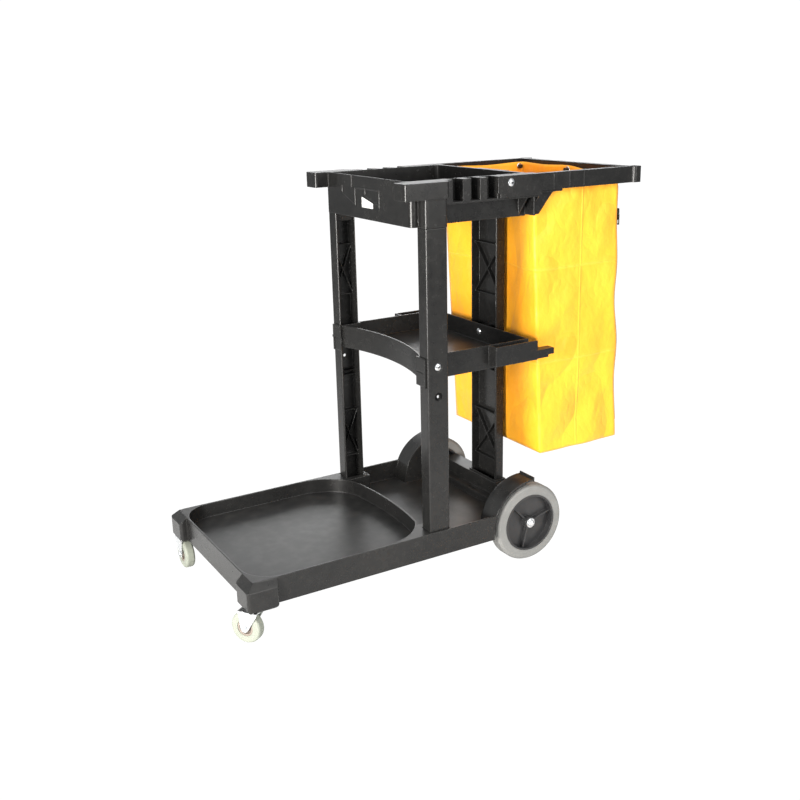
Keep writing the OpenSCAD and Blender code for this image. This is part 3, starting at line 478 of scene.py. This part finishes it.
bag_bm = hang(cut_bag())
cloth_area = sum(f.calc_area() for f in bag_bm.faces)
bag = new_piece("Yellow_bag", bag_bm)
bag_mesh = bag.data
peg_spots = [Vector((x, y, peg_z)) for x in (peg_front, peg_back) for y in (-half, half)]
peg_spots.append(Vector((back_top, 0, peg_z)))
corner_spots = [Vector((front_top, y, rim_z)) for y in (-half, half)]
held = []
for v in bag_mesh.vertices:
    on_peg = min((v.co - spot).length for spot in peg_spots) < 0.022
    on_rim = v.co.z > rim_z - 0.026
    on_corner = min((v.co - spot).length for spot in corner_spots) < 0.03
    on_zip = v.co.y < -half + 0.024 and v.co.x > back_top - 0.012
    on_bottom = v.co.z < floor_z + 0.001
    if on_peg or on_rim or on_corner or on_zip or on_bottom:
        held.append(v.index)
cloth_settled(bag, held)
creases = bmesh.new()
creases.from_mesh(bag_mesh)
sharp = creases.edges.layers.float.new("crease_edge")
for e in creases.edges:
    if len(e.link_faces) == 2 and e.calc_face_angle() > 0.9:
        e[sharp] = 0.75
creases.to_mesh(bag_mesh)
creases.free()
smoother = bag.modifiers.new("Fine", "SUBSURF")
smoother.levels = 1
smoother.render_levels = 1
skin = bag.modifiers.new("Thickness", "SOLIDIFY")
skin.thickness = 0.0007
skin.offset = -1


def yellow_cloth():
    material = bpy.data.materials.new("Yellow_coated_cloth")
    material.use_nodes = True
    nodes, links = material.node_tree.nodes, material.node_tree.links

    def calc(operation, first, second=0):
        return math_node(nodes, links, operation, first, second)

    shader = nodes["Principled BSDF"]
    shader.inputs["Sheen Weight"].default_value = 0.15
    shader.inputs["Specular IOR Level"].default_value = 0.45
    place = nodes.new("ShaderNodeTexCoord").outputs["Object"]
    flat = nodes.new("ShaderNodeUVMap")
    flat.uv_map = "cut"
    cut = nodes.new("ShaderNodeSeparateXYZ")
    links.new(flat.outputs["UV"], cut.inputs["Vector"])
    along, up = cut.outputs["X"], cut.outputs["Y"]

    # weave: crossed threads half a millimetre apart
    threads = 6283 / 0.55
    weft = calc("SINE", calc("MULTIPLY", along, threads))
    warp = calc("SINE", calc("MULTIPLY", up, threads))
    weave = calc("MULTIPLY", weft, warp)

    # crumples: broken creases of several sizes
    warped = nodes.new("ShaderNodeMapping")
    warped.inputs["Rotation"].default_value = (0, 0.5, 0)
    warped.inputs["Scale"].default_value = (1, 1, 0.75)
    links.new(place, warped.inputs["Vector"])
    sway = nodes.new("ShaderNodeTexNoise")
    sway.inputs["Scale"].default_value = 9
    links.new(warped.outputs["Vector"], sway.inputs["Vector"])
    shifted = nodes.new("ShaderNodeVectorMath")
    shifted.operation = "MULTIPLY_ADD"
    links.new(sway.outputs["Color"], shifted.inputs[0])
    shifted.inputs[1].default_value = (0.035, 0.035, 0.035)
    links.new(warped.outputs["Vector"], shifted.inputs[2])
    cells = nodes.new("ShaderNodeTexVoronoi")
    cells.feature = "SMOOTH_F1"
    cells.inputs["Scale"].default_value = 11
    cells.inputs["Smoothness"].default_value = 0.35
    links.new(shifted.outputs["Vector"], cells.inputs["Vector"])
    soft_folds = noise_node(nodes, links, warped.outputs["Vector"], 9, 3)
    long_noise = noise_node(nodes, links, shifted.outputs["Vector"], 6.5, 1)
    long_crease = calc("ABSOLUTE", calc("SUBTRACT", long_noise, 0.5))
    short_noise = noise_node(nodes, links, shifted.outputs["Vector"], 17, 2)
    short_crease = calc("ABSOLUTE", calc("SUBTRACT", short_noise, 0.5))
    small_folds = noise_node(nodes, links, warped.outputs["Vector"], 40, 3)

    # packing folds: one upright in the middle of each side, two across
    def fold_line(value, position, width):
        gap = calc("ABSOLUTE", calc("SUBTRACT", value, position))
        return spread(nodes, links, gap, 0, width, 1, 0)

    side_middle = (front_top + back_top) / 2 + 0.02
    folds = fold_line(up, 0.743, 0.004)
    for value, position in ((up, 0.506), (along, side_middle), (along, 2 + side_middle), (along, 1.0),
            (along, 3.0)):
        folds = calc("MAXIMUM", folds, fold_line(value, position, 0.004))

    # stitches: a hem row under the rim and a row beside each seam
    def stitch_row(value, position, run):
        near = fold_line(value, position, 0.0011)
        dash = calc("FRACT", calc("MULTIPLY", run, 1 / 0.0045))
        return calc("MULTIPLY", near, calc("LESS_THAN", dash, 0.65))

    stitches = stitch_row(up, rim_z - 0.022, along)
    seam = half - 0.005
    for position in (1 - seam, 1 + seam, 3 - seam, 3 + seam):
        stitches = calc("MAXIMUM", stitches, stitch_row(along, position, up))
    hem = fold_line(up, rim_z - 0.0235, 0.0012)

    # the colour is lighter on the raised parts of the soft folds and darker in their hollows, following their
    # bump noise: painted light and shade
    tone = mixed(nodes, links, spread(nodes, links, soft_folds, 0.35, 0.65, 0, 1), (0.97, 0.375, 0.006),
        (1.0, 0.43, 0.011))
    # the packing fold lines are coloured lighter and yellower: a painted highlight along their ridges
    painted_fold_highlight = mixed(nodes, links, calc("MULTIPLY", folds, 0.25), tone, (1.0, 0.58, 0.05))
    thread = mixed(nodes, links, calc("MULTIPLY", stitches, 0.8), painted_fold_highlight, (0.85, 0.38, 0.01))
    links.new(thread, shader.inputs["Base Color"])
    links.new(spread(nodes, links, small_folds, 0.3, 0.7, 0.42, 0.6), shader.inputs["Roughness"])

    big = nodes.new("ShaderNodeBump")
    big.inputs["Strength"].default_value = 0.9
    big.inputs["Distance"].default_value = 0.015
    height = calc("MULTIPLY", long_crease, 2.2)
    for layer, share in ((short_crease, 0.45), (cells.outputs["Distance"], 0.45), (soft_folds, 0.6),
            (small_folds, 0.14)):
        height = calc("ADD", height, calc("MULTIPLY", layer, share))
    links.new(height, big.inputs["Height"])
    lines = nodes.new("ShaderNodeBump")
    lines.inputs["Strength"].default_value = 0.6
    lines.inputs["Distance"].default_value = 0.0016
    raised = calc("ADD", folds, hem)
    links.new(calc("SUBTRACT", raised, calc("MULTIPLY", stitches, 0.5)), lines.inputs["Height"])
    links.new(big.outputs["Normal"], lines.inputs["Normal"])
    fine = nodes.new("ShaderNodeBump")
    fine.inputs["Strength"].default_value = 0.25
    fine.inputs["Distance"].default_value = 0.00008
    links.new(weave, fine.inputs["Height"])
    links.new(lines.outputs["Normal"], fine.inputs["Normal"])
    links.new(fine.outputs["Normal"], shader.inputs["Normal"])
    return material


bag_mesh.materials.append(yellow_cloth())
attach(bag, "cart")
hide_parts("bag")


# Eyelets: two-part nickel rings, rolled over the cloth round each peg, two on each side of the
# bag and one at its rear.
def rolled_ring(bm, matrix):
    profile = [(0.0058, 0.0026), (0.0066, 0.0034), (0.0080, 0.0032), (0.0095, 0.0018), (0.0095, 0.0008),
        (0.0066, 0.0008), (0.0062, -0.0010), (0.0090, -0.0010), (0.0090, -0.0022), (0.0070, -0.0030),
        (0.0058, -0.0024)]
    points = [bm.verts.new((r, 0, z)) for r, z in profile]
    rim = [bm.edges.new((a, b)) for a, b in zip(points, points[1:] + points[:1])]
    bmesh.ops.spin(bm, geom=points + rim, cent=(0, 0, 0), axis=(0, 0, 1), angle=2 * math.pi,
        steps=40, use_merge=True)
    fresh = {v for f in bm.faces for v in f.verts if not v.tag}
    bmesh.ops.transform(bm, matrix=matrix, verts=list(fresh))
    for v in fresh:
        v.tag = True


rings = bmesh.new()
for x in (peg_front, peg_back):
    for sign in (-1, 1):
        rolled_ring(rings, Matrix.Translation((x, sign * (half + 0.0006), peg_z))
            @ Matrix.Rotation(sign * -math.pi / 2, 4, "X"))
rear_x = back_top + (back_bottom - back_top) * 0.012 / tall
rolled_ring(rings, Matrix.Translation((rear_x + 0.0006, 0, peg_z)) @ Matrix.Rotation(math.pi / 2, 4, "Y"))
bmesh.ops.remove_doubles(rings, verts=rings.verts[:], dist=0.00002)
bmesh.ops.recalc_face_normals(rings, faces=rings.faces[:])
eyelets = new_piece("Bag_eyelets", rings)
eyelets.data.materials.append(zinc_plated("Nickel_eyelet"))
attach(eyelets, "cart")
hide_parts("bag_grommets")


# Zipper: a black woven tape sewn down the rear left corner, with two rows of moulded teeth that
# the lacquered slider and pull run on.
zip_low, zip_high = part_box("bag_zipper")
zip_y = (zip_low[1] + zip_high[1]) / 2


def cloth_x(z):
    return back_top + (back_bottom - back_top) * (rim_z - z) / tall + edge_wave(z)


tape = bmesh.new()
corners = [tape.verts.new((cloth_x(zip_high[2]) + out, zip_y + side, zip_high[2]))
    for out, side in ((0.0002, -0.0055), (0.0010, -0.0055), (0.0010, 0.0055), (0.0002, 0.0055))]
strip = tape.faces.new(corners)
for step in range(1, 81):
    z = zip_high[2] + (zip_low[2] - zip_high[2]) * step / 80
    made = bmesh.ops.extrude_face_region(tape, geom=[strip])
    strip = [g for g in made["geom"] if isinstance(g, bmesh.types.BMFace)][0]
    for v in strip.verts:
        v.co.x += cloth_x(z) - cloth_x(v.co.z)
        v.co.z = z
tooth_pitch = 0.0045
for number in range(int((zip_high[2] - zip_low[2]) / tooth_pitch) - 2):
    z = zip_high[2] - 0.006 - number * tooth_pitch
    for row in (-1, 1):
        tooth = Matrix.Translation((cloth_x(z) + 0.0016, zip_y + row * 0.0011, z - row * 0.0011))
        bmesh.ops.create_cube(tape, size=1, matrix=tooth @ Matrix.Diagonal((0.0017, 0.0026, 0.0017, 1)))
bmesh.ops.recalc_face_normals(tape, faces=tape.faces[:])
zipper = new_piece("Zipper_tape", tape, smooth=False)
tape_black = moulded("Woven_black_tape", (0.012, 0.012, 0.012), (0.022, 0.022, 0.022), (0.5, 0.7),
    0.0004, 0.0004)
zipper.data.materials.append(tape_black)
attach(zipper, "cart")
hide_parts("bag_zipper")
lacquer = moulded("Black_lacquer", (0.014, 0.014, 0.015), (0.022, 0.022, 0.022), (0.18, 0.3), 0.0006, 0.00003)
give(lacquer, "zipper_slider", "zipper_pull")


# Studio: a pale floor that runs out of sight, shown bright, and soft light from large panels at
# the left, the front, overhead and behind. For reflections and bounced light the floor carries a
# painted pool of light about the cart, its colour fading further out.
floor_material = bpy.data.materials.new("Pale_floor")
floor_material.use_nodes = True
nodes, links = floor_material.node_tree.nodes, floor_material.node_tree.links
matte = nodes["Principled BSDF"]
place = nodes.new("ShaderNodeTexCoord").outputs["Object"]
away = nodes.new("ShaderNodeVectorMath")
away.operation = "LENGTH"
links.new(place, away.inputs[0])
# floor colour 0.75 near the cart fading to 0.30 beyond: a painted pool of light, seen only in reflections and
# bounce
links.new(mixed(nodes, links, spread(nodes, links, away.outputs["Value"], 0.9, 2.6, 0, 1), (0.75, 0.75, 0.75),
    (0.30, 0.30, 0.30)), matte.inputs["Base Color"])
matte.inputs["Roughness"].default_value = 0.9
glow = nodes.new("ShaderNodeEmission")
glow.inputs["Strength"].default_value = 1.05
sight = nodes.new("ShaderNodeLightPath")
choice = nodes.new("ShaderNodeMixShader")
links.new(sight.outputs["Is Camera Ray"], choice.inputs[0])
links.new(matte.outputs[0], choice.inputs[1])
links.new(glow.outputs[0], choice.inputs[2])
links.new(choice.outputs[0], nodes["Material Output"].inputs["Surface"])
bpy.ops.mesh.primitive_plane_add(size=30, location=(0, 0, 0))
floor = bpy.context.object
floor.name = "Floor"
floor.data.materials.append(floor_material)

world = bpy.data.worlds.new("Studio")
world.use_nodes = True
nodes, links = world.node_tree.nodes, world.node_tree.links
backdrop = nodes["Background"]
backdrop.inputs["Color"].default_value = (1, 1, 1, 1)
backdrop.inputs["Strength"].default_value = 1.05
ambient = nodes.new("ShaderNodeBackground")
ambient.inputs["Color"].default_value = (0.95, 0.98, 1, 1)
ambient.inputs["Strength"].default_value = 0.55
sight = nodes.new("ShaderNodeLightPath")
choice = nodes.new("ShaderNodeMixShader")
links.new(sight.outputs["Is Camera Ray"], choice.inputs[0])
links.new(ambient.outputs[0], choice.inputs[1])
links.new(backdrop.outputs[0], choice.inputs[2])
links.new(choice.outputs[0], nodes["World Output"].inputs["Surface"])
bpy.context.scene.world = world


def light_panel(name, spot, aim, size, power, colour=(1, 1, 1)):
    data = bpy.data.lights.new(name, "AREA")
    data.shape = "RECTANGLE"
    data.size, data.size_y = size
    data.energy = power
    data.color = colour
    lamp = bpy.data.objects.new(name, data)
    bpy.context.collection.objects.link(lamp)
    turn = (Vector(aim) - Vector(spot)).to_track_quat("-Z", "Y")
    lamp.matrix_world = Matrix.Translation(spot) @ turn.to_matrix().to_4x4()
    lamp.visible_camera = False


light_panel("Key_panel", (0.6, -3.0, 1.7), (0, 0, 0.55), (2.4, 2.0), 94, (1, 0.985, 0.96))
light_panel("Top_panel", (0.0, 0.2, 3.0), (0, 0, 0), (2.6, 2.6), 34)
light_panel("Left_panel", (-2.6, -1.2, 0.75), (0, 0, 0.5), (0.9, 1.4), 180, (1, 0.97, 0.93))
light_panel("Back_panel", (1.7, 3.0, 1.15), (0, 0, 0.4), (2.6, 1.0), 40)


# Camera: a normal lens at standing height, to the left of the cart's front. The plain display
# transform keeps the bag's yellow as strong as it is.
camera_data = bpy.data.cameras.new("Camera")
camera_data.lens = 45.51
camera = bpy.data.objects.new("Camera", camera_data)
bpy.context.collection.objects.link(camera)
turn = Matrix.Rotation(math.radians(-30.333), 4, "Z")
tilt = Matrix.Rotation(math.radians(90 - 17.214), 4, "X")
roll = Matrix.Rotation(math.radians(-1.367), 4, "Z")
camera.matrix_world = Matrix.Translation((-1.48868 + axle_x, -2.13394, 1.17983)) @ turn @ tilt @ roll
bpy.context.scene.camera = camera
bpy.context.scene.view_settings.view_transform = "Standard"

bpy.context.view_layer.update()
